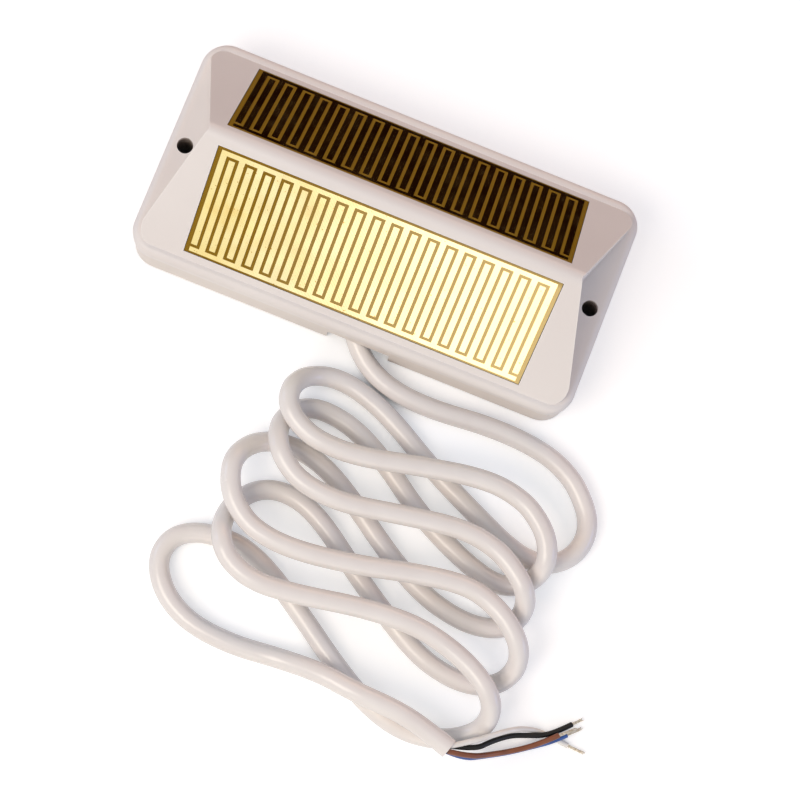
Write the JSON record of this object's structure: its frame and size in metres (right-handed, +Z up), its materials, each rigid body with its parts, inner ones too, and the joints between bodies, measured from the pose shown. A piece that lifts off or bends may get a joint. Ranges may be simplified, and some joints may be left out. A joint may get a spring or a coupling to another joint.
{
  "type": "rain sensor",
  "caption": "Roof-shaped rain sensor with a heated, comb-patterned sensing board on each slope, notched ends for the fixing screws, and a hank of connecting cord with bare core ends.",
  "frame": {"origin": "middle of the housing's underside, on the surface that the sensor is screwed to", "axes": "+X along the ridge, towards the hank's open end; +Y to the back, away from the cord; +Z up, out of the surface"},
  "size_m": [0.156, 0.1487, 0.0421],
  "materials": {
    "housing_plastic": "satin",
    "laminate": "satin",
    "gold_plating": "polished",
    "heater_film": "matte",
    "sheath_pvc": "gloss",
    "white_pvc": "gloss",
    "black_pvc": "gloss",
    "brown_pvc": "gloss",
    "blue_pvc": "gloss",
    "tinned_copper": "polished",
    "screw_steel": "satin",
    "seal_rubber": "matte",
    "board_laminate": "satin",
    "moulded_black": "matte",
    "terminal_plastic": "satin",
    "relay_plastic": "gloss",
    "capacitor_can": "satin",
    "surge_coating": "gloss",
    "lead_pvc": "gloss"
  },
  "bodies": {
    "root": {"cover": "housing_plastic", "base": "housing_plastic", "seal": "seal_rubber", "housing_screws": "screw_steel", "front_sensor_board": "laminate", "front_signal_comb": "gold_plating", "front_ground_comb": "gold_plating", "front_heater": "heater_film", "back_sensor_board": "laminate", "back_signal_comb": "gold_plating", "back_ground_comb": "gold_plating", "back_heater": "heater_film", "main_board": "board_laminate", "main_board_screws": "screw_steel", "terminal_block": "terminal_plastic", "cord_clamp": "housing_plastic", "clamp_screws": "screw_steel", "cord_grommet": "seal_rubber", "relay": "relay_plastic", "capacitor": "capacitor_can", "voltage_regulator": "moulded_black", "controller_chip": "moulded_black", "rectifier": "moulded_black", "surge_absorber": "surge_coating", "lead_headers": "terminal_plastic", "front_sensor_leads": "lead_pvc", "back_sensor_leads": "lead_pvc", "inner_cores": "white_pvc", "cord_tail": "sheath_pvc", "cord_lead": "sheath_pvc", "cord_hank": "sheath_pvc", "white_core": "white_pvc", "black_core": "black_pvc", "brown_core": "brown_pvc", "blue_core": "blue_pvc", "tinned_ends": "tinned_copper"}
  },
  "joints": []
}
